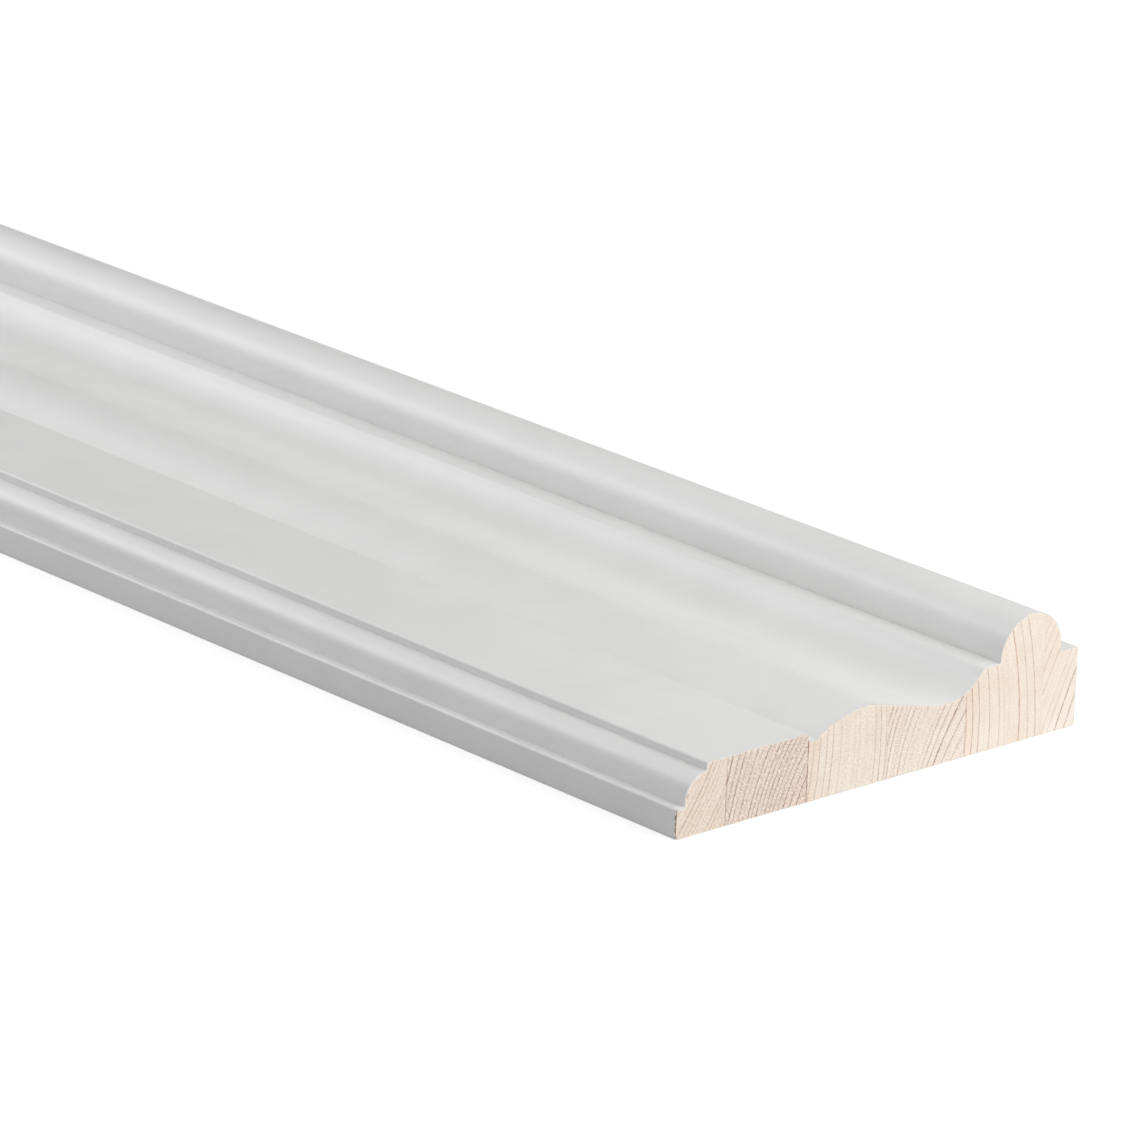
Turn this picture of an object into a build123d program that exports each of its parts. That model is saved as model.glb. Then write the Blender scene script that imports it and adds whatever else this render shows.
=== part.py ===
"""Primed pine moulding: a deep door surround, planed from a blank of laths glued edge to edge.

The section runs from a thin front edge to a thick back edge. In order it has a small ledge, an
ovolo, a step up to a flat, a quirk, an ogee, a cove, a fillet, a big half-round bead and a back
ledge. The outline is drawn from its thin edge, width along X and height along Y of the sketch,
and every member takes its place from the one before it.

Frame: origin on the flat back at the middle of the length and width, +X along the length to the
near sawn end, +Y from the thin edge to the thick edge, +Z up through the thickness. Millimetres.
"""

from build123d import *
from math import asin, atan2, degrees, floor, hypot, sqrt
import os

LENGTH = 2440.0

# The front: a thin edge, a narrow ledge on top of it, and a quarter round that ends in a step.
FRONT_EDGE_HEIGHT = 7.05
LEDGE_WIDTH = 2.4
LEDGE_RISE = 1.05
OVOLO_RADIUS = 5.9
STEP_HEIGHT = 1.9
FLAT_WIDTH = 29.8

# The quirk is the sunk groove between the flat and the ogee.
QUIRK_WIDTH = 1.7
QUIRK_DEPTH = 2.4

# The ogee swells to a crest, runs down a straight slope and sinks into a broad hollow.
CREST_RUN = 15.8
CREST_RISE = 2.65
CREST_RADIUS = 12.0
OGEE_RUN = 24.2
OGEE_DROP = 4.75
HOLLOW_RADIUS = 24.0

# The cove climbs from the hollow to the fillet, and the bead stands on the fillet.
COVE_RUN = 10.6
COVE_RISE = 5.8
COVE_EASING = 1.5
FILLET_WIDTH = 5.3
BEAD_RADIUS = 9.4
BEAD_CENTRE_RISE = 0.4
BACK_LEDGE_WIDTH = 5.5
BACK_LEDGE_DROP = 0.9

# Planed arrises are eased, and more so where the flat drops into the quirk and at the thick
# edge's foot on the flat back.
ARRIS = 0.6
QUIRK_ARRIS = 1.0
BACK_ARRIS = 1.2

# The laths of the blank, each planed to this width, and how far past the middle of the section
# the middle of the blank stands once both edges are trimmed.
LATH_WIDTH = 23.75
BLANK_SHIFT = 1.85

# Places along the width, from the thin edge.
ovolo_end = LEDGE_WIDTH + OVOLO_RADIUS
flat_end = ovolo_end + FLAT_WIDTH
quirk_end = flat_end + QUIRK_WIDTH
crest_place = quirk_end + CREST_RUN
hollow_place = crest_place + OGEE_RUN
cove_end = hollow_place + COVE_RUN
bead_centre = cove_end + FILLET_WIDTH + BEAD_RADIUS
WIDTH = bead_centre + BEAD_RADIUS + BACK_LEDGE_WIDTH

# Heights above the flat back.
ovolo_foot = FRONT_EDGE_HEIGHT + LEDGE_RISE
flat_height = ovolo_foot + OVOLO_RADIUS + STEP_HEIGHT
quirk_height = flat_height - QUIRK_DEPTH
crest_height = flat_height + CREST_RISE
hollow_height = crest_height - OGEE_DROP
fillet_height = hollow_height + COVE_RISE
bead_centre_height = fillet_height + BEAD_CENTRE_RISE
THICKNESS = bead_centre_height + BEAD_RADIUS
back_ledge_height = fillet_height - BACK_LEDGE_DROP

# The slope of the ogee is the straight line that touches the crest circle and the hollow circle.
radii = CREST_RADIUS + HOLLOW_RADIUS
centre_line = hypot(OGEE_RUN, radii - OGEE_DROP)
slope_length = sqrt(centre_line**2 - radii**2)
slope_angle = degrees(asin(radii / centre_line) - atan2(radii - OGEE_DROP, OGEE_RUN))


def bead_foot(height):
    """How far from the bead's centre line its round meets a surface at this height."""
    return sqrt(BEAD_RADIUS**2 - (bead_centre_height - height) ** 2)


with BuildSketch() as section:
    with BuildLine():
        front_edge = Line((0, 0), (0, FRONT_EDGE_HEIGHT))
        ledge = Line(front_edge @ 1, (LEDGE_WIDTH, FRONT_EDGE_HEIGHT))
        ledge_wall = Line(ledge @ 1, (LEDGE_WIDTH, ovolo_foot))
        ovolo = JernArc(ledge_wall @ 1, tangent=(0, 1), radius=OVOLO_RADIUS, arc_size=-90)
        step = Line(ovolo @ 1, (ovolo_end, flat_height))
        flat = Line(step @ 1, (flat_end, flat_height))
        quirk_wall = Line(flat @ 1, (flat_end, quirk_height))
        quirk = Line(quirk_wall @ 1, (quirk_end, quirk_height))
        swell = TangentArc((crest_place, crest_height), quirk @ 1, tangent=(-1, 0))
        crest = JernArc(swell @ 0, tangent=(1, 0), radius=CREST_RADIUS, arc_size=-slope_angle)
        slope = PolarLine(crest @ 1, slope_length, angle=-slope_angle)
        hollow = JernArc(slope @ 1, tangent=slope % 1, radius=HOLLOW_RADIUS, arc_size=slope_angle)
        cove = TangentArc(hollow @ 1, (cove_end, fillet_height), tangent=(1, 0))
        fillet_top = Line(cove @ 1, (bead_centre - bead_foot(fillet_height), fillet_height))
        bead = ThreePointArc(
            fillet_top @ 1,
            (bead_centre, THICKNESS),
            (bead_centre + bead_foot(back_ledge_height), back_ledge_height),
        )
        back_ledge = Line(bead @ 1, (WIDTH, back_ledge_height))
        back_edge = Line(back_ledge @ 1, (WIDTH, 0))
        Line(back_edge @ 1, front_edge @ 0)
    make_face()

    arrises = [front_edge @ 0, front_edge @ 1, flat @ 0, back_ledge @ 1]
    easings = [(corner, ARRIS) for corner in arrises]
    easings += [(flat @ 1, QUIRK_ARRIS), (cove @ 1, COVE_EASING), (back_edge @ 1, BACK_ARRIS)]
    for corner, radius in easings:
        fillet(section.vertices().sort_by_distance(corner)[0], radius)

# Glue joints stand one lath apart, evenly about the middle of the blank. There are as many as
# the section holds whole laths, so neither trimmed edge is left with a sliver.
joint_count = floor(WIDTH / LATH_WIDTH)
first_joint = WIDTH / 2 + BLANK_SHIFT - (joint_count - 1) / 2 * LATH_WIDTH
joints = [first_joint + number * LATH_WIDTH for number in range(joint_count)]
lath_edges = [0.0, *joints, WIDTH]

# The far sawn end, with the sketch's X across the width and its Y up.
far_end = Plane(origin=(-LENGTH / 2, -WIDTH / 2, 0), x_dir=(0, 1, 0), z_dir=(1, 0, 0))

os.makedirs("parts", exist_ok=True)

for number, (near_face, far_face) in enumerate(zip(lath_edges, lath_edges[1:]), start=1):
    with BuildPart() as lath:
        with BuildSketch(far_end):
            add(section.sketch)
            with Locations((near_face, 0)):
                Rectangle(
                    far_face - near_face,
                    THICKNESS,
                    align=(Align.MIN, Align.MIN),
                    mode=Mode.INTERSECT,
                )
        extrude(amount=LENGTH)
    lath.part.label = f"lath_{number}"
    export_step(lath.part, f"parts/lath_{number}.step")
    print(f"lath_{number}: {near_face:.2f} to {far_face:.2f} mm from the thin edge")

print(f"section {WIDTH:.2f} x {THICKNESS:.2f} mm, length {LENGTH:.0f} mm")
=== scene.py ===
"""Looks of the primed pine moulding, a deep door surround planed from glued laths and sawn square.

X runs along the length to the near sawn end, Y from the thin edge to the thick edge and Z up from
the flat back. Sizes are in millimetres, as a joiner gives them, and turn to metres in the meshes.
"""

from math import asin, atan2, ceil, cos, hypot, pi, radians, sin, sqrt

import bmesh
import bpy
import numpy as np
from mathutils import Matrix, Vector
from mathutils.geometry import delaunay_2d_cdt


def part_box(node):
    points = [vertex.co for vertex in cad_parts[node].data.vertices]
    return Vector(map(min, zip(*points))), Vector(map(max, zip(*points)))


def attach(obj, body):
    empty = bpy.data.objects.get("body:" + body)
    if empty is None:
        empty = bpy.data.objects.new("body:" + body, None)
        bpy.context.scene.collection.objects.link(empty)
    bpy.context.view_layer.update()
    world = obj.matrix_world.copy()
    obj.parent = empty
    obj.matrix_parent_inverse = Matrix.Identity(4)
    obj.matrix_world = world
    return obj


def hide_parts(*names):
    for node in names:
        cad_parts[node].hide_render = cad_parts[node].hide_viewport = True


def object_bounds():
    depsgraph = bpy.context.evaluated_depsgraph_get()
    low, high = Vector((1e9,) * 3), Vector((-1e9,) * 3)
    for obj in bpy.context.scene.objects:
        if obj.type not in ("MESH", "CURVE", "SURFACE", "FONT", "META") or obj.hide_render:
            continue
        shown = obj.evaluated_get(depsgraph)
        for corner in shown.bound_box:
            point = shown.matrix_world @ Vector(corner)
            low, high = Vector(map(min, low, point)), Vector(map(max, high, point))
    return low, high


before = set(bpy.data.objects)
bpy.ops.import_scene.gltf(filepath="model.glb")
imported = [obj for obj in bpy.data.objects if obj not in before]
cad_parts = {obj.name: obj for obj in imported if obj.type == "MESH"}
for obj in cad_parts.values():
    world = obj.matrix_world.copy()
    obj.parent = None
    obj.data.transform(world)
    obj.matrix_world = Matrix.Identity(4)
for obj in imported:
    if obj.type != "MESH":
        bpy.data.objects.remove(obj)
cad_low, cad_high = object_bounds()

MM = 0.001
LENGTH = (cad_high.x - cad_low.x) / MM
THIN_EDGE = cad_low.y / MM
LATHS = 6
joints = [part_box(f"lath_{number}")[1].y / MM - THIN_EDGE for number in range(1, LATHS)]

# The front: a thin edge, a narrow ledge on top of it, and a quarter round that ends in a step.
FRONT_EDGE_HEIGHT = 7.05
LEDGE_WIDTH = 2.4
LEDGE_RISE = 1.05
OVOLO_RADIUS = 5.9
STEP_HEIGHT = 1.9
FLAT_WIDTH = 29.8

# The quirk is the sunk groove between the flat and the ogee.
QUIRK_WIDTH = 1.7
QUIRK_DEPTH = 2.4

# The ogee swells to a crest, runs down a straight slope and sinks into a broad hollow.
CREST_RUN = 15.8
CREST_RISE = 2.65
CREST_RADIUS = 12.0
OGEE_RUN = 24.2
OGEE_DROP = 4.75
HOLLOW_RADIUS = 24.0

# The cove climbs from the hollow to the fillet, and the bead stands on the fillet.
COVE_RUN = 10.6
COVE_RISE = 5.8
COVE_EASING = 1.5
FILLET_WIDTH = 5.3
BEAD_RADIUS = 9.4
BEAD_CENTRE_RISE = 0.4
BACK_LEDGE_WIDTH = 5.5
BACK_LEDGE_DROP = 0.9

# Eased arrises, and how deep the paint has pooled in the quirk and how far it rounds the root.
ARRIS = 0.6
QUIRK_ARRIS = 1.0
QUIRK_POOL = 0.45
QUIRK_ROOT = 0.9
BACK_ARRIS = 1.2

# The meshed section's steps along arcs and straights, the grid of a sawn face, how near to its rim
# the grid comes as a share of its step, and the angle up to which edges are shaded round.
ARC_STEP = 0.3
STRAIGHT_STEP = 0.45
GRID = 0.22
RIM_CLEARANCE = 0.6
SMOOTH_ANGLE = 30

# Points closer than the weld are one point, and points this near to a cut lie on it. A face whose
# normal leans further along the length than this belongs to a sawn end.
WELD = 0.002
ON_CUT = 0.001
END_FACING = 0.5

# Places along the width, from the thin edge, and heights above the flat back.
ovolo_end = LEDGE_WIDTH + OVOLO_RADIUS
flat_end = ovolo_end + FLAT_WIDTH
quirk_end = flat_end + QUIRK_WIDTH
crest_place = quirk_end + CREST_RUN
hollow_place = crest_place + OGEE_RUN
cove_end = hollow_place + COVE_RUN
bead_centre = cove_end + FILLET_WIDTH + BEAD_RADIUS
WIDTH = bead_centre + BEAD_RADIUS + BACK_LEDGE_WIDTH
ovolo_foot = FRONT_EDGE_HEIGHT + LEDGE_RISE
flat_height = ovolo_foot + OVOLO_RADIUS + STEP_HEIGHT
quirk_height = flat_height - QUIRK_DEPTH
crest_height = flat_height + CREST_RISE
hollow_height = crest_height - OGEE_DROP
fillet_height = hollow_height + COVE_RISE
bead_centre_height = fillet_height + BEAD_CENTRE_RISE
back_ledge_height = fillet_height - BACK_LEDGE_DROP

# The film of primer, and the hair's breadth that keeps it off the planed wood.
FILM = 0.18
FILM_GAP = 0.01


def arc(centre, radius, start, end):
    """Points along an arc of the section, both ends included. The angles are in radians."""
    steps = max(2, ceil(abs(end - start) * radius / ARC_STEP))
    angles = [start + (end - start) * step / steps for step in range(steps + 1)]
    return [(centre[0] + radius * cos(a), centre[1] + radius * sin(a)) for a in angles]


def section_outline():
    """The painted section, from the foot of the thin edge over the top to that of the thick edge."""
    left, up, right, down = pi, pi / 2, 0.0, -pi / 2
    points = arc((ARRIS, ARRIS), ARRIS, pi - down, left)
    points += arc((ARRIS, FRONT_EDGE_HEIGHT - ARRIS), ARRIS, left, up)
    points += [(LEDGE_WIDTH, FRONT_EDGE_HEIGHT)]
    points += arc((ovolo_end, ovolo_foot), OVOLO_RADIUS, left, up)
    points += arc((ovolo_end + ARRIS, flat_height - ARRIS), ARRIS, left, up)
    points += arc((flat_end - QUIRK_ARRIS, flat_height - QUIRK_ARRIS), QUIRK_ARRIS, up, right)
    pool_height = quirk_height + QUIRK_POOL
    points += arc((flat_end + QUIRK_ROOT, pool_height + QUIRK_ROOT), QUIRK_ROOT, left, pi - down)

    swell_height = crest_height - quirk_height
    swell_radius = (CREST_RUN**2 + swell_height**2) / (2 * swell_height)
    swell_centre = (crest_place, crest_height - swell_radius)
    swell_start = pi - asin((pool_height - swell_centre[1]) / swell_radius)
    points += arc(swell_centre, swell_radius, swell_start, up)
    radii = CREST_RADIUS + HOLLOW_RADIUS
    centre_line = hypot(OGEE_RUN, radii - OGEE_DROP)
    slope = asin(radii / centre_line) - atan2(radii - OGEE_DROP, OGEE_RUN)
    points += arc((crest_place, crest_height - CREST_RADIUS), CREST_RADIUS, up, up - slope)
    points += arc((hollow_place, hollow_height + HOLLOW_RADIUS), HOLLOW_RADIUS, down - slope, down)

    cove_radius = (COVE_RUN**2 + COVE_RISE**2) / (2 * COVE_RISE)
    cove_centre = (hollow_place, hollow_height + cove_radius)
    easing_height = fillet_height - COVE_EASING
    easing_run = sqrt((cove_radius + COVE_EASING) ** 2 - (easing_height - cove_centre[1]) ** 2)
    touch = atan2(easing_height - cove_centre[1], easing_run)
    points += arc(cove_centre, cove_radius, down, touch)
    points += arc((hollow_place + easing_run, easing_height), COVE_EASING, touch + pi, up)

    bead_start = asin((bead_centre_height - fillet_height) / BEAD_RADIUS)
    bead_end = asin((bead_centre_height - back_ledge_height) / BEAD_RADIUS)
    points += arc((bead_centre, bead_centre_height), BEAD_RADIUS, pi + bead_start, -bead_end)
    points += arc((WIDTH - ARRIS, back_ledge_height - ARRIS), ARRIS, up, right)
    points += arc((WIDTH - BACK_ARRIS, BACK_ARRIS), BACK_ARRIS, right, down)
    return points


def divided(points, step):
    """A closed outline with its longer sides cut into steps, and without doubled points."""
    made = []
    for (y, z), (next_y, next_z) in zip(points, points[1:] + points[:1]):
        side = hypot(next_y - y, next_z - z)
        if side < 1e-6:
            continue
        pieces = max(1, round(side / step))
        shares = [piece / pieces for piece in range(pieces)]
        made += [(y + (next_y - y) * share, z + (next_z - z) * share) for share in shares]
    return made


def inset(points, depth):
    """A closed outline, run clockwise, moved inwards by a depth, with mitred corners."""
    made = []
    for before, here, after in zip(points[-1:] + points[:-1], points, points[1:] + points[:1]):
        came = (Vector(here) - Vector(before)).normalized()
        goes = (Vector(after) - Vector(here)).normalized()
        inwards = Vector((came.y + goes.y, -came.x - goes.x)).normalized()
        made.append(tuple(Vector(here) + inwards * (depth / inwards.dot(Vector((goes.y, -goes.x))))))
    return made


def kept_side(points, place, beyond):
    """The part of a closed outline that lies beyond a place along the width, or else before it."""
    made = []
    for (y, z), (next_y, next_z) in zip(points, points[1:] + points[:1]):
        if (y >= place) == beyond:
            made.append((y, z))
        if (y - place) * (next_y - place) < 0:
            share = (place - y) / (next_y - y)
            made.append((place, z + (next_z - z) * share))
    return made


def clear_inside(places, outline, margin):
    """Which of many places lie within a closed outline and no nearer to it than a margin."""
    starts = np.array(outline)
    ends = np.roll(starts, -1, axis=0)
    inside = np.zeros(len(places), bool)
    clear = np.ones(len(places), bool)
    for start, end in zip(starts, ends):
        along = end - start
        crosses = (places[:, 1] < start[1]) != (places[:, 1] < end[1])
        rise = along[1] if abs(along[1]) > 1e-9 else 1e-9
        reach = start[0] + (places[:, 1] - start[1]) * along[0] / rise
        inside ^= crosses & (places[:, 0] < reach)
        share = np.clip((places - start) @ along / (along @ along), 0, 1)
        clear &= np.linalg.norm(places - start - share[:, None] * along, axis=1) > margin
    return inside & clear


def at_the_cut(points):
    """Section points in millimetres as places in the plane of the near cut, in metres."""
    return [(LENGTH / 2 * MM, (THIN_EDGE + y) * MM, z * MM) for y, z in points]


def sawn_face(name, outline, grid):
    """A flat sawn face, triangulated over an even grid so that the saw's marks can lift it."""
    low_y, low_z = np.min(outline, axis=0)
    high_y, high_z = np.max(outline, axis=0)
    row_step = grid * sqrt(3) / 2
    places = []
    for row in range(int((high_z - low_z) / row_step) + 1):
        first = low_y + (row % 2) * grid / 2
        places += [(y, low_z + row * row_step) for y in np.arange(first, high_y, grid)]
    places = np.array(places)
    places = places[clear_inside(places, outline, grid * RIM_CLEARANCE)]
    corners = [Vector(point) for point in outline] + [Vector(point) for point in places]
    rim = list(range(len(outline)))
    inside_only = 1
    points, _, faces, *_ = delaunay_2d_cdt(corners, [], [rim], inside_only, 1e-6)
    mesh = bpy.data.meshes.new(name)
    mesh.from_pydata(at_the_cut(points), [], faces)
    return mesh


def film_face(name, outer, inner):
    """The cut edge of the primer film: a thin band between two outlines of as many points."""
    count = len(outer)
    following = [(here + 1) % count for here in range(count)]
    faces = [(here, count + here, count + after, after) for here, after in enumerate(following)]
    mesh = bpy.data.meshes.new(name)
    mesh.from_pydata(at_the_cut(outer + inner), [], faces)
    return mesh


def linear(hex_colour):
    """An sRGB hex colour as linear red, green, blue and alpha."""
    channels = [int(hex_colour[at:at + 2], 16) / 255 for at in (1, 3, 5)]
    return [c / 12.92 if c <= 0.04045 else ((c + 0.055) / 1.055) ** 2.4 for c in channels] + [1.0]


def put(tree, kind, feeds=None, **settings):
    """Adds a node with its settings. Feeds give an input's name or number a value, socket or node."""
    node = tree.nodes.new(kind)
    for name, value in settings.items():
        setattr(node, name, value)
    for name, feed in (feeds or {}).items():
        if isinstance(feed, bpy.types.Node):
            feed = next(socket for socket in feed.outputs if socket.enabled)
        if isinstance(feed, bpy.types.NodeSocket):
            tree.links.new(feed, node.inputs[name])
        else:
            node.inputs[name].default_value = feed
    return node


def geometry_tree(name, inputs):
    """A new geometry tree with a mesh in, a mesh out and these other named inputs."""
    tree = bpy.data.node_groups.new(name, "GeometryNodeTree")
    tree.interface.new_socket("Sawn Face", in_out="INPUT", socket_type="NodeSocketGeometry")
    for label, kind in inputs.items():
        tree.interface.new_socket(label, in_out="INPUT", socket_type=f"NodeSocket{kind}")
    tree.interface.new_socket("Stock", in_out="OUTPUT", socket_type="NodeSocketGeometry")
    return tree, put(tree, "NodeGroupInput").outputs


def swept_stock_tree():
    """Sweeps the rim of a sawn face along the length and closes the stock with a face at each cut.

    The rows of the sweep crowd towards both cuts, where the film is ragged and the wood shows.
    """
    tree, given = geometry_tree("swept stock", {"Length": "Float", "Rows": "Int", "Crowding": "Float"})
    half = put(tree, "ShaderNodeMath", {0: given["Length"], 1: 0.5}, operation="MULTIPLY")
    behind = put(tree, "ShaderNodeMath", {0: half, 1: -1.0}, operation="MULTIPLY")

    neighbours = put(tree, "GeometryNodeInputMeshEdgeNeighbors")
    on_rim = put(tree, "FunctionNodeCompare", {2: neighbours, 3: 1}, data_type="INT", operation="EQUAL")
    rim = put(tree, "GeometryNodeMeshToCurve", {"Mesh": given["Sawn Face"], "Selection": on_rim})
    place = put(tree, "ShaderNodeSeparateXYZ", {0: put(tree, "GeometryNodeInputPosition")})
    across = put(tree, "ShaderNodeMath", {0: place.outputs["Y"], 1: -1.0}, operation="MULTIPLY")
    upwards = put(tree, "ShaderNodeMath", {0: place.outputs["Z"], 1: -1.0}, operation="MULTIPLY")
    turned = put(tree, "ShaderNodeCombineXYZ", {"X": across, "Y": upwards})
    profile = put(tree, "GeometryNodeSetPosition", {"Geometry": rim, "Position": turned})

    far = put(tree, "ShaderNodeCombineXYZ", {"X": behind})
    near = put(tree, "ShaderNodeCombineXYZ", {"X": half})
    line = put(tree, "GeometryNodeCurvePrimitiveLine", {"Start": far, "End": near})
    rows = put(tree, "GeometryNodeResampleCurve", {"Curve": line, "Count": given["Rows"]})
    share = put(tree, "ShaderNodeMath", {0: place.outputs["X"], 1: half}, operation="DIVIDE")
    spread = put(tree, "ShaderNodeMath", {0: share}, operation="ABSOLUTE")
    from_cut = put(tree, "ShaderNodeMath", {0: 1.0, 1: spread}, operation="SUBTRACT")
    power = put(tree, "ShaderNodeMath", {0: from_cut, 1: given["Crowding"]}, operation="MULTIPLY")
    grown = put(tree, "ShaderNodeMath", {0: power}, operation="EXPONENT")
    most = put(tree, "ShaderNodeMath", {0: given["Crowding"]}, operation="EXPONENT")
    reach = put(
        tree, "ShaderNodeMapRange",
        {"Value": grown, "From Min": 1.0, "From Max": most, "To Min": half, "To Max": 0.0},
    )
    side = put(tree, "ShaderNodeMath", {0: share}, operation="SIGN")
    stand = put(tree, "ShaderNodeMath", {0: reach, 1: side}, operation="MULTIPLY")
    crowded = put(tree, "ShaderNodeCombineXYZ", {"X": stand})
    path = put(tree, "GeometryNodeSetPosition", {"Geometry": rows, "Position": crowded})

    walls = put(tree, "GeometryNodeCurveToMesh", {"Curve": path, "Profile Curve": profile})
    length_back = put(tree, "ShaderNodeMath", {0: given["Length"], 1: -1.0}, operation="MULTIPLY")
    whole_length = put(tree, "ShaderNodeCombineXYZ", {"X": length_back})
    moved = put(
        tree, "GeometryNodeTransform",
        {"Geometry": given["Sawn Face"], "Translation": whole_length},
    )
    far_face = put(tree, "GeometryNodeFlipFaces", {"Mesh": moved})
    joined = put(tree, "GeometryNodeJoinGeometry")
    for part in (given["Sawn Face"], far_face.outputs[0], walls.outputs[0]):
        tree.links.new(part, joined.inputs[0])
    welded = put(tree, "GeometryNodeMergeByDistance", {"Geometry": joined, "Distance": WELD * MM})
    put(tree, "NodeGroupOutput", {"Stock": welded})
    return tree


def stock_in(tree, given, swept):
    """The stock that the shared sweep makes of this tree's own sawn face and sizes."""
    shared = {name: given[name] for name in ("Sawn Face", "Length", "Rows", "Crowding")}
    return put(tree, "GeometryNodeGroup", shared, node_tree=swept)


def cut_sides(tree, length):
    """Which end a point belongs to, as 1 or -1, and how far it lies from that end's cut."""
    place = put(tree, "ShaderNodeSeparateXYZ", {0: put(tree, "GeometryNodeInputPosition")})
    side = put(tree, "ShaderNodeMath", {0: place.outputs["X"]}, operation="SIGN")
    half = put(tree, "ShaderNodeMath", {0: length, 1: 0.5}, operation="MULTIPLY")
    distance = put(tree, "ShaderNodeMath", {0: place.outputs["X"]}, operation="ABSOLUTE")
    reach = put(tree, "ShaderNodeMath", {0: half, 1: distance}, operation="SUBTRACT")
    return place, side, reach


def inward(tree, depth, side):
    """A step of this depth from the cut at a point's own end into the stock."""
    outward = put(tree, "ShaderNodeMath", {0: depth, 1: side}, operation="MULTIPLY")
    along = put(tree, "ShaderNodeMath", {0: outward, 1: -1.0}, operation="MULTIPLY")
    return put(tree, "ShaderNodeCombineXYZ", {"X": along})


def finish_stock(tree, stock, sides, ends):
    """Ends a tree: one material along the stock's sides and another on its two sawn ends."""
    facing = put(tree, "ShaderNodeSeparateXYZ", {0: put(tree, "GeometryNodeInputNormal")})
    turned = put(tree, "ShaderNodeMath", {0: facing.outputs["X"]}, operation="ABSOLUTE")
    sawn = put(tree, "ShaderNodeMath", {0: turned, 1: END_FACING}, operation="GREATER_THAN")
    whole = put(tree, "GeometryNodeRealizeInstances", {"Geometry": stock})
    sided = put(tree, "GeometryNodeSetMaterial", {"Geometry": whole, "Material": sides})
    dressed = put(
        tree, "GeometryNodeSetMaterial", {"Geometry": sided, "Selection": sawn, "Material": ends},
    )
    put(tree, "NodeGroupOutput", {"Stock": dressed})


def sawn_lath_tree(swept):
    """A lath from its sawn face. The saw's teeth leave fine furrows in arcs across both cuts."""
    tree, given = geometry_tree("sawn lath", {
        "Length": "Float", "Rows": "Int", "Crowding": "Float", "Blade Centre": "Vector",
        "Furrow Spacing": "Float", "Furrow Length": "Float", "Furrow Depth": "Float",
        "Seed": "Float", "End Grain": "Material", "Planed Side": "Material",
    })
    stock = stock_in(tree, given, swept)
    place, side, reach = cut_sides(tree, given["Length"])
    on_cut = put(tree, "ShaderNodeMath", {0: reach, 1: ON_CUT * MM}, operation="LESS_THAN")

    flat = put(tree, "ShaderNodeCombineXYZ", {"Y": place.outputs["Y"], "Z": place.outputs["Z"]})
    from_blade = put(
        tree, "ShaderNodeVectorMath", {0: flat, 1: given["Blade Centre"]}, operation="DISTANCE",
    ).outputs[1]
    along = put(
        tree, "ShaderNodeMath", {0: place.outputs["Y"], 1: given["Furrow Length"]}, operation="DIVIDE",
    )
    across = put(
        tree, "ShaderNodeMath", {0: from_blade, 1: given["Furrow Spacing"]}, operation="DIVIDE",
    )
    other_end = put(tree, "ShaderNodeMath", {0: side, 1: given["Seed"]}, operation="ADD")
    cell = put(tree, "ShaderNodeCombineXYZ", {"X": along, "Y": across, "Z": other_end})
    furrows = put(tree, "ShaderNodeTexNoise", {"Vector": cell, "Scale": 1.0, "Detail": 2.0})
    depth = put(
        tree, "ShaderNodeMath", {0: furrows.outputs[0], 1: given["Furrow Depth"]}, operation="MULTIPLY",
    )
    sawn = put(
        tree, "GeometryNodeSetPosition",
        {"Geometry": stock, "Selection": on_cut, "Offset": inward(tree, depth, side)},
    )
    finish_stock(tree, sawn, given["Planed Side"], given["End Grain"])
    return tree


def primer_film_tree(swept):
    """The film from its cut edge: a touch ragged at the saw, and flaked where teeth broke out of it."""
    tree, given = geometry_tree("primer film", {
        "Length": "Float", "Rows": "Int", "Crowding": "Float", "Collar": "Float",
        "Ragged Depth": "Float", "Ragged Grain": "Float", "Flake Depth": "Float",
        "Flake Grain": "Float", "Seed": "Float", "Primer": "Material", "Sawn Edge": "Material",
    })
    stock = stock_in(tree, given, swept)
    place, side, reach = cut_sides(tree, given["Length"])
    hold = put(
        tree, "ShaderNodeMapRange",
        {"Value": reach, "From Min": 0.0, "From Max": given["Collar"], "To Min": 1.0, "To Max": 0.0},
    )
    other_end = put(tree, "ShaderNodeMath", {0: side, 1: given["Seed"]}, operation="ADD")
    round_rim = put(
        tree, "ShaderNodeCombineXYZ",
        {"X": other_end, "Y": place.outputs["Y"], "Z": place.outputs["Z"]},
    )

    # The film is bitten only where the noise runs high, so the bites come one by one.
    depths = []
    for grain, depth in (("Ragged Grain", "Ragged Depth"), ("Flake Grain", "Flake Depth")):
        scale = put(tree, "ShaderNodeMath", {0: 1.0, 1: given[grain]}, operation="DIVIDE")
        cells = put(
            tree, "ShaderNodeVectorMath", {"Vector": round_rim, "Scale": scale}, operation="SCALE",
        )
        bites = put(tree, "ShaderNodeTexNoise", {"Vector": cells, "Scale": 1.0, "Detail": 3.0})
        deep = put(
            tree, "ShaderNodeMapRange",
            {"Value": bites.outputs[0], "From Min": 0.36, "From Max": 0.66, "To Max": given[depth]},
        )
        depths.append(deep)
    flaked = put(
        tree, "GeometryNodeInputNamedAttribute", {"Name": "flaked"}, data_type="FLOAT",
    )
    flakes = put(tree, "ShaderNodeMath", {0: depths[1], 1: flaked}, operation="MULTIPLY")
    bitten = put(tree, "ShaderNodeMath", {0: depths[0], 1: flakes}, operation="ADD")
    held = put(tree, "ShaderNodeMath", {0: bitten, 1: hold}, operation="MULTIPLY")
    ragged = put(
        tree, "GeometryNodeSetPosition", {"Geometry": stock, "Offset": inward(tree, held, side)},
    )
    finish_stock(tree, ragged, given["Primer"], given["Sawn Edge"])
    return tree


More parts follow.
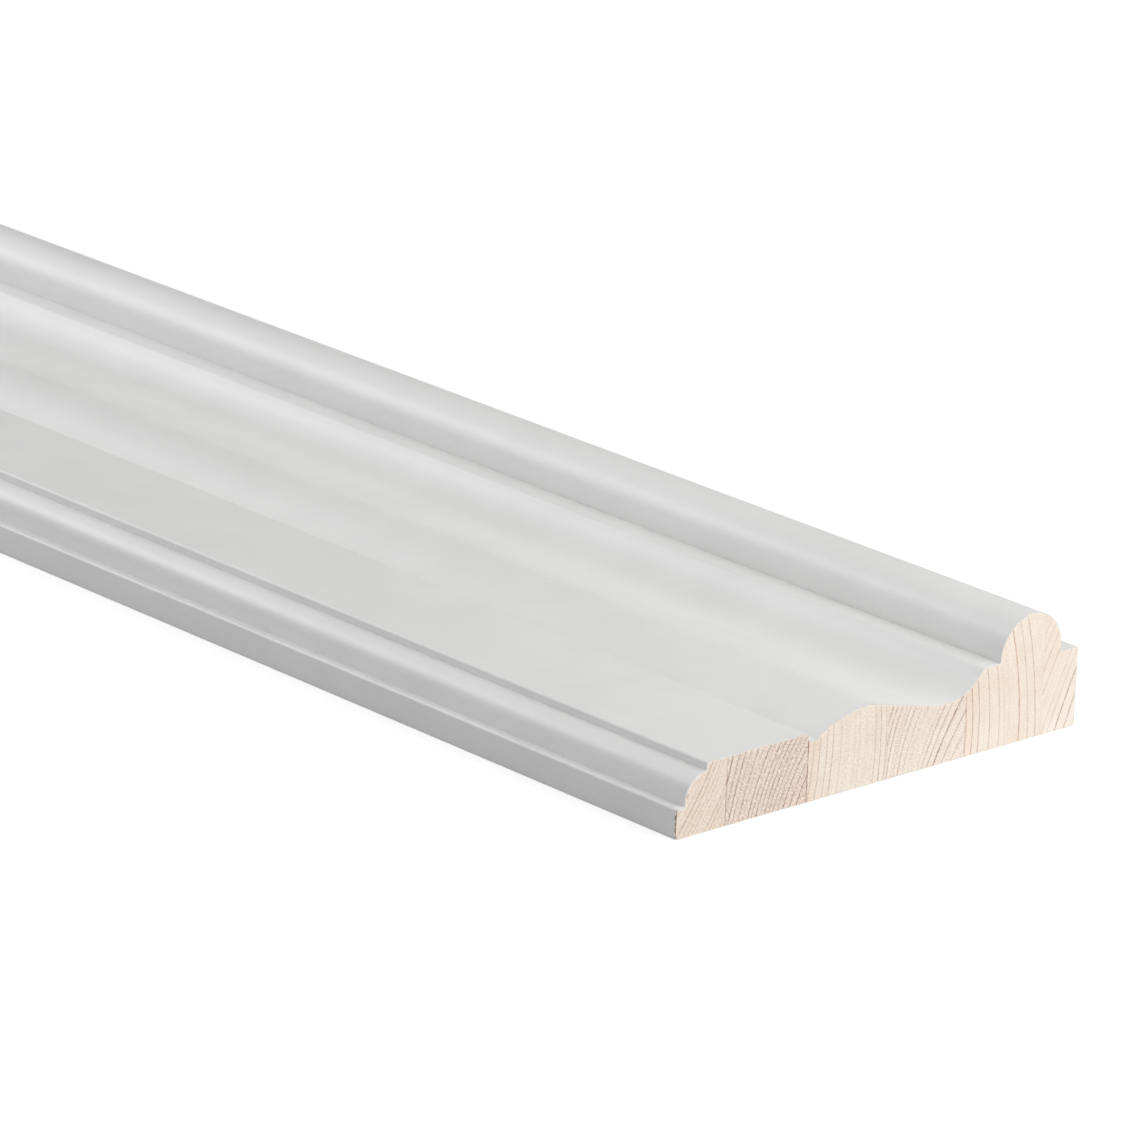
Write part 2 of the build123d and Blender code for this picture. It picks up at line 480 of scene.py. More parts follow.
def made_by(tree, name, start, values):
    """The plain mesh that a geometry tree makes of a starting mesh, as an object at the origin, with
    no empty material slot left from the join."""
    piece = bpy.data.objects.new(name, start)
    modifier = piece.modifiers.new(tree.name, "NODES")
    modifier.node_group = tree
    for item in tree.interface.items_tree:
        if item.in_out == "INPUT" and item.name in values:
            modifier[item.identifier] = values[item.name]
    bpy.context.scene.collection.objects.link(piece)
    shaped = piece.evaluated_get(bpy.context.evaluated_depsgraph_get())
    mesh = bpy.data.meshes.new_from_object(shaped)
    while None in list(mesh.materials):
        mesh.materials.pop(index=list(mesh.materials).index(None))
    piece.modifiers.clear()
    piece.data = mesh
    mesh.name = name
    return piece


def closed_and_smooth(piece):
    """Points the faces of a closed piece outwards and rounds its shading up to the smooth angle."""
    shape = bmesh.new()
    shape.from_mesh(piece.data)
    bmesh.ops.recalc_face_normals(shape, faces=shape.faces)
    shape.to_mesh(piece.data)
    shape.free()
    piece.data.shade_smooth()
    piece.data.set_sharp_from_angle(angle=radians(SMOOTH_ANGLE))


def new_material(name):
    """An empty node material with its shader, and the object's coordinates in millimetres, in which
    a texture's scale is how many of its lumps there are to the millimetre."""
    material = bpy.data.materials.new(name)
    material.use_nodes = True
    tree = material.node_tree
    tree.nodes.clear()
    shader = put(tree, "ShaderNodeBsdfPrincipled")
    put(tree, "ShaderNodeOutputMaterial", {"Surface": shader})
    place = put(tree, "ShaderNodeTexCoord").outputs["Object"]
    in_mm = put(tree, "ShaderNodeMapping", {"Vector": place, "Scale": (1 / MM,) * 3})
    return material, tree, shader, in_mm


# The pine's growth, lath by lath from the thin edge. Each ring is named by its foot, the place
# where its dark late wood meets the flat back, with the strength of that line. A ring leans across
# the width as it rises: by `lean` at the middle of the lath, by `fan` more for each millimetre past
# it, and curved by `bow` and `flare` in the same way. `outside` says which side the bark was on,
# where the late wood ends sharply, and `fade` how far it takes to pale towards the pith. `stains`
# are warmer or redder stretches: the foot of the middle, the reach to each side and the tint. `top`
# is how strongly painted shade darkens the end grain towards the moulded face.
GROWTH = [
    {
        "lean": 0.75, "fan": -0.011, "bow": -0.0134, "flare": -0.0003, "outside": 1, "fade": 0.6,
        "early": "#EDDFD0", "late": "#A58166", "fuzz": 0.36, "top": 0.1,
        "stains": [],
        "rings": {
            -3.4: 0.34, -1.8: 0.13, -0.1: 0.73, 1.7: 0.39, 3.2: 0.34, 4.6: 0.28, 5.9: 0.17, 8.3: 0.47,
            9.6: 0.41, 10.8: 0.26, 12.7: 0.3, 14.6: 0.28,
        },
    },
    {
        "lean": 0.278, "fan": 0.0054, "bow": 0.0126, "flare": 0.00075, "outside": 1, "fade": 0.55,
        "early": "#EADBCF", "late": "#8B6850", "fuzz": 0.55, "top": 0.0,
        "stains": [(37.0, 21.0, "#FDF8F7")],
        "rings": {
            10.9: 0.48, 12.3: 0.75, 13.8: 0.48, 15.2: 0.65, 16.5: 0.34, 18.2: 0.45, 19.4: 0.28, 20.9: 0.65,
            22.0: 0.36, 23.3: 0.71, 24.5: 0.47, 25.8: 0.67, 27.1: 0.59, 28.3: 0.49, 29.7: 0.49, 31.2: 0.71,
            33.2: 0.54, 35.2: 0.83, 37.2: 0.17,
        },
    },
    {
        "lean": 0.135, "fan": -0.0035, "bow": -0.0057, "flare": 0.0, "outside": 1, "fade": 0.42,
        "early": "#F0E6D9", "late": "#AE8B71", "fuzz": 0.28, "top": 0.3,
        "stains": [(38.6, 3.5, "#FFF9F5")],
        "rings": {
            36.6: 0.28, 38.4: 0.45, 40.4: 0.53, 42.6: 0.45, 44.4: 0.53, 47.0: 0.26, 48.4: 0.15, 49.3: 0.09,
            51.3: 0.15, 52.8: 0.25, 54.9: 0.07, 57.8: 0.38, 59.4: 0.53, 61.1: 0.45, 62.7: 0.22,
        },
    },
    {
        "lean": 0.402, "fan": 0.0294, "bow": 0.0085, "flare": -0.00027, "outside": -1, "fade": 0.6,
        "early": "#F3E9DD", "late": "#A07C66", "fuzz": 0.36, "top": 0.9,
        "stains": [],
        "rings": {
            58.6: 0.34, 59.9: 0.52, 60.9: 0.46, 62.0: 0.47, 63.3: 0.25, 64.0: 0.3, 65.2: 0.43, 66.8: 0.28,
            68.4: 0.19, 69.5: 0.1, 71.3: 0.18, 72.5: 0.48, 74.1: 0.44, 76.0: 0.84, 78.6: 0.58, 81.4: 0.44,
            84.3: 0.39, 86.5: 0.34,
        },
    },
    {
        "lean": 0.041, "fan": -0.0056, "bow": -0.0065, "flare": 0.0002, "outside": 1, "fade": 0.45,
        "early": "#F3E9DC", "late": "#B8967E", "fuzz": 0.21, "top": 0.6,
        "stains": [(86.4, 4.5, "#FEF7F4"), (102.6, 0.4, "#FBECE2")],
        "rings": {
            83.6: 0.34, 85.7: 0.45, 87.7: 0.67, 89.8: 0.63, 91.6: 0.1, 93.1: 0.56, 96.3: 0.38, 98.1: 0.13,
            99.2: 0.07, 102.6: 0.58, 105.3: 0.38, 107.7: 0.54, 110.5: 0.06, 112.6: 0.06,
        },
    },
    {
        "lean": 0.364, "fan": -0.007, "bow": 0.0048, "flare": 0.0003, "outside": 1, "fade": 0.7,
        "early": "#F5EBE0", "late": "#BEA18B", "fuzz": 0.2, "top": 0.8,
        "stains": [],
        "rings": {
            96.3: 0.28, 98.3: 0.29, 100.3: 0.26, 102.5: 0.38, 105.3: 0.37, 107.0: 0.16, 108.3: 0.13,
            109.6: 0.34, 111.5: 0.34, 113.9: 0.9, 116.9: 0.67, 119.4: 0.34, 122.0: 0.34,
        },
    },
]

# How far outside its darkest part a line of late wood ends.
DARK_CORE = 0.13

# The dark hair of glue along each joint, from the thin edge: some joints hardly show.
GLUE_LINES = [0.6, 0.95, 0.15, 0.35, 0.08]

# How far the saw dragged the primer over the wood, at places across the width and above the foot.
DRAGGED_FOOT = 1.0
DRAGGED_PAINT = {0.0: 0.0, 1.0: 0.3, 8.0: 0.3, 11.0: 0.1, 50.0: 0.1, 56.0: 0.2, 62.0: 0.1, 120.0: 0.1}


def from_paint(places, painted):
    """How far each place lies inside the painted outline of the section."""
    starts = np.array(painted)
    nearest = np.full(len(places), np.inf)
    for start, end in zip(starts, np.roll(starts, -1, axis=0)):
        along = end - start
        share = np.clip((places - start) @ along / (along @ along), 0, 1)
        nearest = np.minimum(nearest, np.linalg.norm(places - start - share[:, None] * along, axis=1))
    return nearest


def mark_grain(mesh, growth, middle, painted):
    """Writes each point's grain: rings counted towards the bark, its ring's foot and its height, and
    the late wood there: its strength and the width of its ring. Writes the paint's edge too: how far
    off it is, and how far the saw dragged the paint inwards there. A spare third place repeats the
    second."""
    points = np.empty(len(mesh.vertices) * 3)
    mesh.vertices.foreach_get("co", points)
    _, across, height = points.reshape(-1, 3).T / MM
    across = across - THIN_EDGE
    inside = from_paint(np.stack((across, height), axis=1), painted)
    dragged = np.interp(across, *np.array(sorted(DRAGGED_PAINT.items())).T) * (height > DRAGGED_FOOT)
    leant = across - middle - height * growth["lean"] - height**2 * growth["bow"]
    foot = middle + leant / (1 + height * growth["fan"] + height**2 * growth["flare"])
    feet, strengths = np.array(sorted(growth["rings"].items())).T
    edges = feet + DARK_CORE * growth["outside"]
    ring = np.interp(foot, edges, np.arange(len(edges)))
    width = np.interp(foot, (edges[1:] + edges[:-1]) / 2, np.diff(edges))
    strength = np.interp(foot, feet, strengths)
    values = {
        "grain": (ring * growth["outside"], foot, height), "late_wood": (strength, width, width),
        "paint_edge": (inside, dragged, dragged),
    }
    for name, columns in values.items():
        written = mesh.attributes.new(name, "FLOAT_VECTOR", "POINT")
        written.data.foreach_set("vector", np.stack(columns, axis=1).ravel())


def sawn_pine(number, growth, joins):
    """Pine end grain off a circular saw: dry, matt and pale. Each ring's late wood is a thin brown
    line with a sharp outer edge, and the teeth leave arcs of whitish fuzz across it."""
    material, tree, shader, in_mm = new_material(f"sawn pine end grain, lath {number}")
    grain = put(tree, "ShaderNodeAttribute", attribute_name="grain").outputs["Vector"]
    ring, foot, height = put(tree, "ShaderNodeSeparateXYZ", {0: grain}).outputs
    late_wood = put(tree, "ShaderNodeAttribute", attribute_name="late_wood").outputs["Vector"]
    strength, width, _ = put(tree, "ShaderNodeSeparateXYZ", {0: late_wood}).outputs
    upright = put(tree, "ShaderNodeCombineXYZ", {"X": foot, "Y": height})

    # Late wood: dark at the outer edge of each ring and paling inwards. It wanders over 3 mm and is
    # stronger here and there, in patches 1.2 mm wide and 2 mm long.
    wander = put(tree, "ShaderNodeTexNoise", {"Vector": in_mm, "Scale": 0.3, "Detail": 3.0})
    sway = put(
        tree, "ShaderNodeMapRange", {"Value": wander.outputs[0], "To Min": -0.08, "To Max": 0.08},
    )
    wavy = put(tree, "ShaderNodeMath", {0: ring, 1: sway}, operation="ADD")
    phase = put(tree, "ShaderNodeMath", {0: wavy}, operation="FRACT")
    left_over = put(tree, "ShaderNodeMath", {0: 1.0, 1: phase}, operation="SUBTRACT")
    from_edge = put(tree, "ShaderNodeMath", {0: left_over, 1: width}, operation="MULTIPLY")
    line = put(
        tree, "ShaderNodeMapRange",
        {"Value": from_edge, "From Min": growth["fade"], "From Max": DARK_CORE},
        interpolation_type="SMOOTHSTEP",
    )
    along_ring = put(tree, "ShaderNodeMapping", {"Vector": upright, "Scale": (0.8, 0.5, 1.0)})
    patchy = put(tree, "ShaderNodeTexNoise", {"Vector": along_ring, "Detail": 6.0, "Scale": 1.0})
    patches = put(
        tree, "ShaderNodeMapRange",
        {"Value": patchy.outputs[0], "From Min": 0.3, "From Max": 0.7, "To Min": 0.6, "To Max": 1.36},
    )
    held = put(tree, "ShaderNodeMath", {0: strength, 1: patches}, operation="MULTIPLY")
    late = put(tree, "ShaderNodeMath", {0: line, 1: held}, operation="MULTIPLY")

    # Between the lines run faint darker bands, a quarter of a millimetre wide and 16 mm long.
    faint = put(tree, "ShaderNodeMapping", {"Vector": upright, "Scale": (4.0, 0.06, 1.0)})
    bands = put(tree, "ShaderNodeTexNoise", {"Vector": faint, "Detail": 2.0, "Scale": 1.0})
    banded = put(
        tree, "ShaderNodeMapRange",
        {"Value": bands.outputs[0], "From Min": 0.45, "From Max": 0.75, "To Max": 0.16},
    )
    dark = put(tree, "ShaderNodeMath", {0: late, 1: banded}, operation="MAXIMUM")
    wood = put(
        tree, "ShaderNodeMix",
        {"Factor": dark, 6: linear(growth["early"]), 7: linear(growth["late"])}, data_type="RGBA",
    )

    # Soft clouds of a warmer tint, 6 mm across, then the stains and the painted shade that darkens the
    # top.
    clouds = put(tree, "ShaderNodeTexNoise", {"Vector": in_mm, "Scale": 0.16, "Detail": 2.0})
    cloud = put(
        tree, "ShaderNodeMapRange",
        {"Value": clouds.outputs[0], "From Min": 0.4, "From Max": 0.7, "To Max": 0.16},
    )
    tinted = put(
        tree, "ShaderNodeMix", {"Factor": cloud, 6: wood.outputs[2], 7: linear("#E6CDB9")},
        data_type="RGBA", blend_type="MULTIPLY",
    ).outputs[2]
    for middle, reach, tint in growth["stains"]:
        aside = put(tree, "ShaderNodeMath", {0: foot, 1: middle}, operation="SUBTRACT")
        off = put(tree, "ShaderNodeMath", {0: aside}, operation="ABSOLUTE")
        soaked = put(
            tree, "ShaderNodeMapRange", {"Value": off, "From Min": reach, "From Max": 0.0},
            interpolation_type="SMOOTHSTEP",
        )
        tinted = put(
            tree, "ShaderNodeMix", {"Factor": soaked, 6: tinted, 7: linear(tint)},
            data_type="RGBA", blend_type="MULTIPLY",
        ).outputs[2]
    # Painted shade: the end grain is made darker from 4 mm to 12 mm above the flat back.
    painted_shade_at_top = put(
        tree, "ShaderNodeMapRange",
        {"Value": height, "From Min": 4.0, "From Max": 12.0, "To Max": growth["top"]},
        interpolation_type="SMOOTHSTEP",
    )
    tinted = put(
        tree, "ShaderNodeMix", {"Factor": painted_shade_at_top, 6: tinted, 7: linear("#FAF7F4")},
        data_type="RGBA", blend_type="MULTIPLY",
    ).outputs[2]

    # Fuzz and torn fibres follow the furrows of the saw. Real fibres are a few hundredths wide, too
    # fine to show: they are drawn as tufts a quarter of a millimetre wide and 0.8 mm long.
    flat = put(tree, "ShaderNodeVectorMath", {0: in_mm, 1: (0.0, 1.0, 1.0)}, operation="MULTIPLY")
    blade = put(
        tree, "ShaderNodeVectorMath", {0: flat, 1: (0.0, *BLADE_CENTRE)}, operation="DISTANCE",
    ).outputs[1]
    across = put(tree, "ShaderNodeSeparateXYZ", {0: in_mm}).outputs["Y"]
    furrows = put(tree, "ShaderNodeCombineXYZ", {"X": across, "Y": blade})
    drawn = put(tree, "ShaderNodeMapping", {"Vector": furrows, "Scale": (1.2, 3.8, 1.0)})
    tufts = put(tree, "ShaderNodeTexNoise", {"Vector": drawn, "Scale": 1.0, "Detail": 2.0})
    fuzz = put(
        tree, "ShaderNodeMapRange",
        {"Value": tufts.outputs[0], "From Min": 0.5, "From Max": 0.66, "To Max": growth["fuzz"]},
    )
    torn = put(
        tree, "ShaderNodeMapRange",
        {"Value": tufts.outputs[0], "From Min": 0.5, "From Max": 0.34, "To Max": growth["fuzz"] * 0.6},
    )
    fuzzy = put(
        tree, "ShaderNodeMix", {"Factor": fuzz, 6: tinted, 7: linear("#FAF3EA")},
        data_type="RGBA",
    )
    rough_sawn = put(
        tree, "ShaderNodeMix", {"Factor": torn, 6: fuzzy.outputs[2], 7: linear(growth["late"])},
        data_type="RGBA",
    ).outputs[2]

    # The glue lines, stronger and weaker over 3 mm.
    along_joint = put(tree, "ShaderNodeTexNoise", {"Vector": in_mm, "Scale": 0.3, "Detail": 2.0})
    uneven = put(
        tree, "ShaderNodeMapRange",
        {"Value": along_joint.outputs[0], "From Min": 0.35, "From Max": 0.6, "To Min": 0.35},
    )
    for place, dark_glue in joins:
        apart = put(tree, "ShaderNodeMath", {0: across, 1: place}, operation="SUBTRACT")
        near = put(tree, "ShaderNodeMath", {0: apart}, operation="ABSOLUTE")
        hair = put(
            tree, "ShaderNodeMapRange",
            {"Value": near, "From Min": 0.07, "From Max": 0.24, "To Min": dark_glue, "To Max": 0.0},
        )
        shows = put(tree, "ShaderNodeMath", {0: hair, 1: uneven}, operation="MULTIPLY")
        rough_sawn = put(
            tree, "ShaderNodeMix", {"Factor": shows, 6: rough_sawn, 7: linear("#9A755C")},
            data_type="RGBA",
        ).outputs[2]

    # Whitish primer that the teeth dragged from the painted rim over the wood, in ragged tongues
    # about 1 mm apart.
    paint_edge = put(tree, "ShaderNodeAttribute", attribute_name="paint_edge").outputs["Vector"]
    off_paint, dragged, _ = put(tree, "ShaderNodeSeparateXYZ", {0: paint_edge}).outputs
    tongues = put(tree, "ShaderNodeTexNoise", {"Vector": in_mm, "Scale": 0.9, "Detail": 4.0})
    reach = put(
        tree, "ShaderNodeMapRange",
        {"Value": tongues.outputs[0], "From Min": 0.3, "From Max": 0.7, "To Max": 2.0},
    )
    tongue = put(tree, "ShaderNodeMath", {0: reach, 1: dragged}, operation="MULTIPLY")
    past = put(tree, "ShaderNodeMath", {0: off_paint, 1: tongue}, operation="SUBTRACT")
    smeared = put(
        tree, "ShaderNodeMapRange",
        {"Value": past, "From Min": FILM + 0.16, "From Max": FILM - 0.16, "To Max": 0.7},
    )
    rimmed = put(
        tree, "ShaderNodeMix", {"Factor": smeared, 6: rough_sawn, 7: linear("#EFECE7")},
        data_type="RGBA",
    )
    tree.links.new(rimmed.outputs[2], shader.inputs["Base Color"])

    # Tufts and the harder late wood stand a few hundredths of a millimetre proud.
    relief = put(tree, "ShaderNodeMath", {0: tufts.outputs[0], 1: late}, operation="ADD")
    bump = put(tree, "ShaderNodeBump", {"Height": relief, "Distance": 0.06 * MM, "Strength": 0.7})
    tree.links.new(bump.outputs[0], shader.inputs["Normal"])
    shader.inputs["Roughness"].default_value = 0.85
    shader.inputs["Specular IOR Level"].default_value = 0.25
    return material


def planed_pine_with_painted_shade():
    """The planed long grain under the film, seen only where the film flaked off at the saw. It is
    browner than the end grain, partly from the saw's burn and partly painted shade, with streaks half a
    millimetre wide and 12 mm long."""
    material, tree, shader, in_mm = new_material("planed pine long grain")
    drawn_out = put(tree, "ShaderNodeMapping", {"Vector": in_mm, "Scale": (0.08, 2.2, 2.2)})
    streaks = put(tree, "ShaderNodeTexNoise", {"Vector": drawn_out, "Scale": 1.0, "Detail": 5.0})
    tone = put(
        tree, "ShaderNodeMapRange", {"Value": streaks.outputs[0], "From Min": 0.3, "From Max": 0.7},
    )
    # Both browns are darkened with painted shade, besides the saw's burn.
    wood = put(
        tree, "ShaderNodeMix",
        {"Factor": tone, 6: linear("#94765F"), 7: linear("#CDB59E")}, data_type="RGBA",
    )
    tree.links.new(wood.outputs[2], shader.inputs["Base Color"])
    bump = put(tree, "ShaderNodeBump", {"Height": streaks.outputs[0], "Distance": 0.05 * MM})
    tree.links.new(bump.outputs[0], shader.inputs["Normal"])
    shader.inputs["Roughness"].default_value = 0.75
    return material


def satin_primer():
    """Water-based white primer, sprayed on planed pine: an even, near-neutral off-white with a satin
    gloss, an orange-peel of 0.7 mm and the faint waves of the planer, 2.2 mm apart."""
    material, tree, shader, in_mm = new_material("satin white primer")

    # The thickness of the film varies over 20 mm, and its tone a little with it.
    cloud = put(tree, "ShaderNodeTexNoise", {"Vector": in_mm, "Scale": 0.05, "Detail": 6.0})
    tone = put(
        tree, "ShaderNodeMapRange", {"Value": cloud.outputs[0], "From Min": 0.3, "From Max": 0.7},
    )
    paint = put(
        tree, "ShaderNodeMix",
        {"Factor": tone, 6: linear("#E5E5E3"), 7: linear("#EAEAE8")}, data_type="RGBA",
    )

    # A few nibs of dust, under half a millimetre wide and about twenty to the metre of moulding.
    dust = put(tree, "ShaderNodeTexVoronoi", {"Vector": in_mm, "Scale": 0.06})
    nibs = put(
        tree, "ShaderNodeMapRange",
        {"Value": dust.outputs["Distance"], "From Min": 0.02, "From Max": 0.005},
        interpolation_type="SMOOTHSTEP",
    )
    grey = put(tree, "ShaderNodeMath", {0: nibs, 1: 0.45}, operation="MULTIPLY")
    specked = put(
        tree, "ShaderNodeMix", {"Factor": grey, 6: paint.outputs[2], 7: linear("#A9A8A6")},
        data_type="RGBA",
    )
    tree.links.new(specked.outputs[2], shader.inputs["Base Color"])

    peel = put(tree, "ShaderNodeTexNoise", {"Vector": in_mm, "Scale": 1.4, "Detail": 3.0})
    knife_marks = put(tree, "ShaderNodeMapping", {"Vector": in_mm, "Scale": (0.45, 0.02, 0.02)})
    waves = put(tree, "ShaderNodeTexNoise", {"Vector": knife_marks, "Scale": 1.0, "Detail": 1.0})
    peel_bump = put(
        tree, "ShaderNodeBump", {"Height": peel.outputs[0], "Distance": 0.02 * MM, "Strength": 0.5},
    )
    wave_bump = put(
        tree, "ShaderNodeBump",
        {"Height": waves.outputs[0], "Distance": 0.02 * MM, "Strength": 0.5, "Normal": peel_bump},
    )
    nib_bump = put(
        tree, "ShaderNodeBump", {"Height": nibs, "Distance": 0.1 * MM, "Normal": wave_bump},
    )
    tree.links.new(nib_bump.outputs[0], shader.inputs["Normal"])
    shader.inputs["Roughness"].default_value = 0.37
    return material


def dusty_primer():
    """The film where the saw cut through it: dull, and yellowed by wood dust in specks of 1 mm."""
    material, tree, shader, in_mm = new_material("sawn primer edge with wood dust")
    specks = put(tree, "ShaderNodeTexNoise", {"Vector": in_mm, "Scale": 0.9, "Detail": 2.0})
    dust = put(
        tree, "ShaderNodeMapRange", {"Value": specks.outputs[0], "From Min": 0.35, "From Max": 0.6},
    )
    dusted = put(
        tree, "ShaderNodeMix",
        {"Factor": dust, 6: linear("#E6E2DC"), 7: linear("#E2D5C7")}, data_type="RGBA",
    )
    tree.links.new(dusted.outputs[2], shader.inputs["Base Color"])
    shader.inputs["Roughness"].default_value = 0.8
    return material


# The saw's furrows run in arcs about the blade's axle, which stood this far across from the middle
# of the width and above the flat back. How far apart, how long and how deep they are comes next.
BLADE_CENTRE = (62.0, 145.0)
FURROW_SPACING = 0.55
FURROW_LENGTH = 5.0
FURROW_DEPTH = 0.05

# The film's sawn edge is disturbed no further in than the collar. It is ragged all round, and whole
# flakes of it broke off the thin edge, between its foot and its top arris.
COLLAR = 3.0
RAGGED_DEPTH = 0.07
RAGGED_GRAIN = 0.5
FLAKE_DEPTH = 0.65
FLAKE_GRAIN = 0.8
FLAKED_FOOT = 0.6
FLAKED_TOP = FRONT_EDGE_HEIGHT - 0.3

# Rows of points along the stock, and how they crowd towards the cuts.
LATH_ROWS = 8
LATH_CROWDING = 3.0
FILM_ROWS = 29
FILM_CROWDING = 9.0

# The outer laths are cut clear of the two edges, and each lath and the film have their own noise.
PAST_EDGE = 1.0
LATH_SEED = 3.0
FILM_SEED = 5.0

outline = divided(section_outline(), STRAIGHT_STEP)
wood_outline = inset(outline, FILM + FILM_GAP)
film_inside = inset(outline, FILM)

swept = swept_stock_tree()
lath_tree = sawn_lath_tree(swept)
film_tree = primer_film_tree(swept)
# The bare planed wood where the film flaked, darkened with painted shade.
planed = planed_pine_with_painted_shade()

lath_edges = [-PAST_EDGE, *joints, WIDTH + PAST_EDGE]
for number, growth in enumerate(GROWTH, start=1):
    near_edge, far_edge = lath_edges[number - 1:number + 1]
    lath_outline = kept_side(kept_side(wood_outline, near_edge, True), far_edge, False)
    joins = [
        (THIN_EDGE + joint, glue) for joint, glue in zip(joints, GLUE_LINES)
        if joint in (near_edge, far_edge)
    ]
    face = sawn_face(f"sawn_face_{number}", divided(lath_outline, STRAIGHT_STEP), GRID)
    face.materials.append(planed)
    lath = made_by(lath_tree, f"pine_lath_{number}", face, {
        "Length": LENGTH * MM, "Rows": LATH_ROWS, "Crowding": LATH_CROWDING,
        "Blade Centre": Vector((0.0, *BLADE_CENTRE)) * MM, "Furrow Spacing": FURROW_SPACING * MM,
        "Furrow Length": FURROW_LENGTH * MM, "Furrow Depth": FURROW_DEPTH * MM,
        "Seed": LATH_SEED * number, "End Grain": sawn_pine(number, growth, joins),
        "Planed Side": planed,
    })
    closed_and_smooth(lath)
    mark_grain(lath.data, growth, (max(near_edge, 0) + min(far_edge, WIDTH)) / 2, outline)
    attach(lath, "root")
    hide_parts(f"lath_{number}")

rim = film_face("film_rim", outline, film_inside)
flaked = [float(y < ARRIS and FLAKED_FOOT < z < FLAKED_TOP) for y, z in outline + film_inside]
rim.attributes.new("flaked", "FLOAT", "POINT").data.foreach_set("value", flaked)
satin = satin_primer()
rim.materials.append(satin)
primer = made_by(film_tree, "primer_coat", rim, {
    "Length": LENGTH * MM, "Rows": FILM_ROWS, "Crowding": FILM_CROWDING, "Collar": COLLAR * MM,
    "Ragged Depth": RAGGED_DEPTH * MM, "Ragged Grain": RAGGED_GRAIN * MM,
    "Flake Depth": FLAKE_DEPTH * MM, "Flake Grain": FLAKE_GRAIN * MM, "Seed": FILM_SEED,
    "Primer": satin, "Sawn Edge": dusty_primer(),
})
closed_and_smooth(primer)
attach(primer, "root")


# The world's daylight for all but the camera, the floor's half width, its glow at the sawn end and
# well away from it, where the lamps light it less, and the colour of the two lamps at the front.
AMBIENT = 0.175
FLOOR_HALF = 30.0
GLOW_NEAR = 0.75
GLOW_AWAY = 0.97
COOL = "#FAFAFF"


def studio_floor():
    """A wide pale floor that reads white, also mirrored in the paint, and keeps the soft shadow."""
    mesh = bpy.data.meshes.new("floor")
    corners = [(x * FLOOR_HALF, y * FLOOR_HALF, 0.0) for x, y in ((-1, -1), (1, -1), (1, 1), (-1, 1))]
    mesh.from_pydata(corners, [], [(0, 1, 2, 3)])
    floor = bpy.data.objects.new("floor", mesh)
    bpy.context.scene.collection.objects.link(floor)
    material = bpy.data.materials.new("pale studio floor")
    material.use_nodes = True
    tree = material.node_tree
    tree.nodes.clear()
    matt = put(tree, "ShaderNodeBsdfDiffuse", {"Color": linear("#9F9F9F")})
    place = put(tree, "ShaderNodeTexCoord").outputs["Object"]
    from_sawn_end = put(tree, "ShaderNodeMapping", {"Vector": place, "Location": (-1.1, 0.0, 0.0)})
    away = put(tree, "ShaderNodeVectorMath", {0: from_sawn_end}, operation="LENGTH").outputs[1]
    topping = put(
        tree, "ShaderNodeMapRange",
        {"Value": away, "From Min": 0.4, "From Max": 2.5, "To Min": GLOW_NEAR, "To Max": GLOW_AWAY},
    )
    path = put(tree, "ShaderNodeLightPath").outputs
    seen = put(
        tree, "ShaderNodeMath", {0: path["Is Camera Ray"], 1: path["Is Glossy Ray"]}, operation="ADD",
    )
    strength = put(tree, "ShaderNodeMath", {0: seen, 1: topping}, operation="MULTIPLY")
    glow = put(tree, "ShaderNodeEmission", {"Strength": strength})
    lit = put(tree, "ShaderNodeAddShader", {0: matt, 1: glow})
    put(tree, "ShaderNodeOutputMaterial", {"Surface": lit})
    mesh.materials.append(material)


def studio_world():
    """Even daylight from all round. The camera sees it as white."""
    world = bpy.data.worlds.new("studio")
    bpy.context.scene.world = world
    world.use_nodes = True
    tree = world.node_tree
    tree.nodes.clear()
    seen = put(tree, "ShaderNodeLightPath").outputs["Is Camera Ray"]
    strength = put(
        tree, "ShaderNodeMapRange", {"Value": seen, "To Min": AMBIENT, "To Max": 1.0},
    )
    sky = put(tree, "ShaderNodeBackground", {"Color": (1.0, 1.0, 1.0, 1.0), "Strength": strength})
    put(tree, "ShaderNodeOutputWorld", {"Surface": sky})


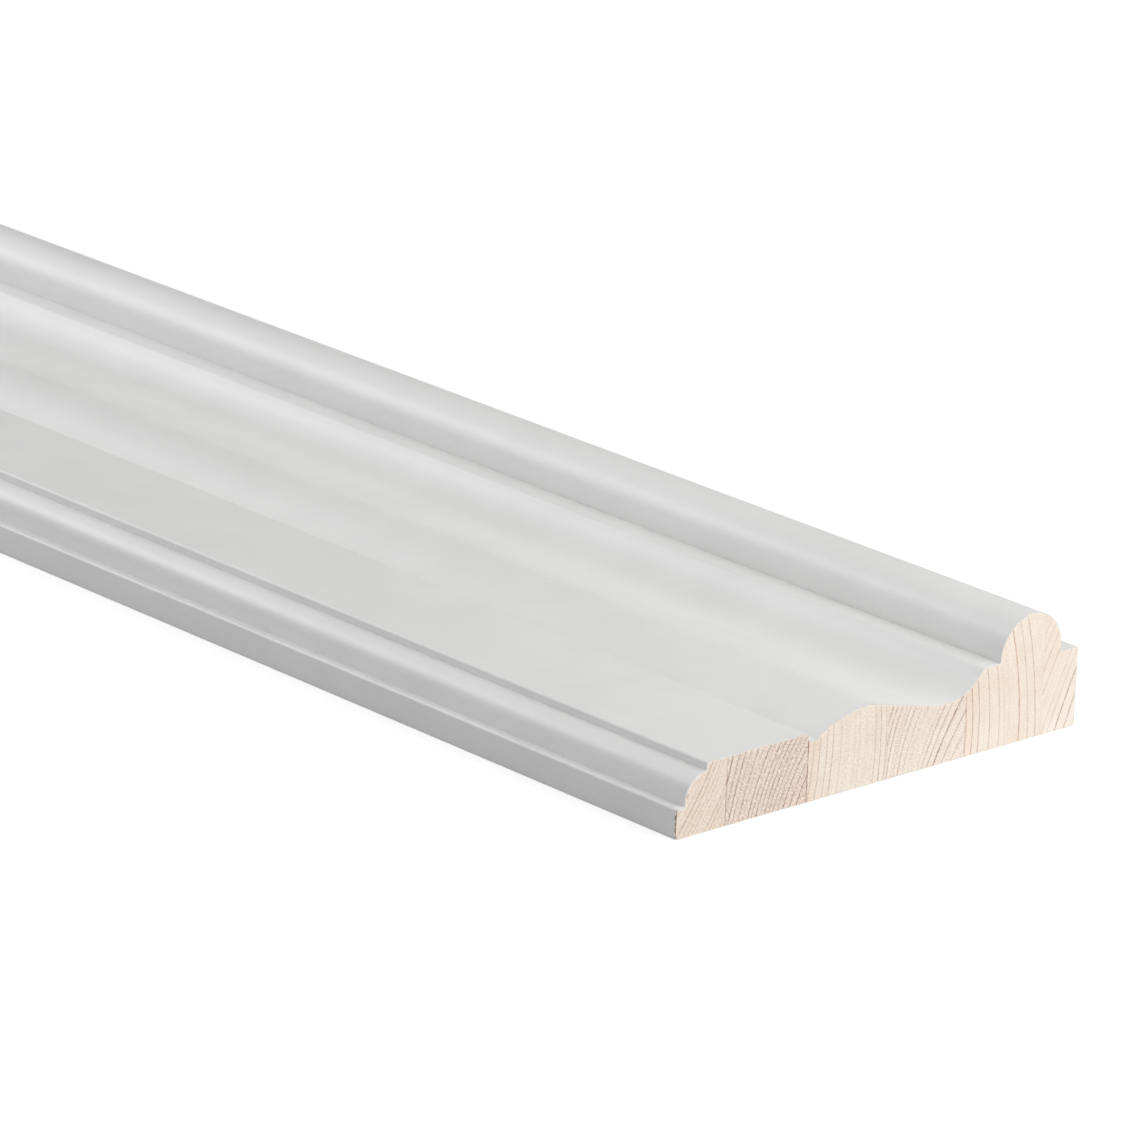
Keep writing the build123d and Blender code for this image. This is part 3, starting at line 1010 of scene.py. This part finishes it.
def softbox(name, place, aim, size, watts, spread=180, colour="#FFFFFF"):
    """A square diffused lamp at a place, turned to what it lights. A grid narrows its spread."""
    lamp = bpy.data.lights.new(name, "AREA")
    lamp.size = size
    lamp.energy = watts
    lamp.spread = radians(spread)
    lamp.color = linear(colour)[:3]
    stand = bpy.data.objects.new(name, lamp)
    bpy.context.scene.collection.objects.link(stand)
    way = (Vector(aim) - Vector(place)).to_track_quat("-Z", "Y")
    stand.matrix_world = Matrix.Translation(place) @ way.to_matrix().to_4x4()
    stand.visible_camera = False


studio_floor()
studio_world()
softbox("box before the sawn end", (3.2, -0.4, 0.9), (1.2, 0.0, 0.0), 1.0, 12.7)
softbox("box over the sawn end", (2.0, 0.5, 0.9), (1.2, 0.0, 0.0), 0.7, 2.9)
softbox("small box over the corner", (1.9, 0.2, 0.6), (1.2, 0.0, 0.0), 0.5, 3.8)
softbox("small box behind the corner", (1.6, 0.6, 0.5), (1.2, 0.0, 0.0), 0.4, 1.9)
softbox("low box behind", (1.7, 1.4, 0.4), (1.0, 0.0, 0.0), 0.8, 3.3)
softbox("box over the front left", (0.1, -0.45, 0.75), (0.8, 0.0, 0.0), 0.5, 4.2, colour=COOL)
softbox("low box at the front", (0.6, -1.4, 0.3), (0.8, 0.0, 0.0), 0.7, 4.6, colour=COOL)
softbox("box over the far half", (-0.9, 0.0, 1.3), (-0.8, 0.0, 0.0), 1.2, 8.0)
softbox("box before the far end", (-2.4, -0.3, 0.8), (-1.2, 0.0, 0.0), 0.8, 8.0)
softbox("gridded box at the far front", (-0.6, -1.3, 0.6), (-0.6, 0.0, 0.0), 0.6, 1.4, 80)
softbox("gridded box behind the far half", (-0.6, 1.3, 0.6), (-0.6, 0.0, 0.0), 0.6, 1.4, 80)

# The photograph's view: a long lens, low over the sawn end's front corner, and a slight roll.
EYE = Vector((2.2350, -1.0230, 0.5322))
SIGHT = Vector((-0.69890, 0.63974, -0.31978))
ROLL = radians(2.14)
LENS = 225.6
camera_data = bpy.data.cameras.new("camera")
camera_data.lens = LENS
camera_data.clip_end = 200.0
camera = bpy.data.objects.new("camera", camera_data)
bpy.context.scene.collection.objects.link(camera)
upright = SIGHT.to_track_quat("-Z", "Y").to_matrix().to_4x4()
camera.matrix_world = Matrix.Translation(EYE) @ upright @ Matrix.Rotation(ROLL, 4, "Z")
bpy.context.scene.camera = camera
bpy.context.scene.view_settings.view_transform = "Standard"
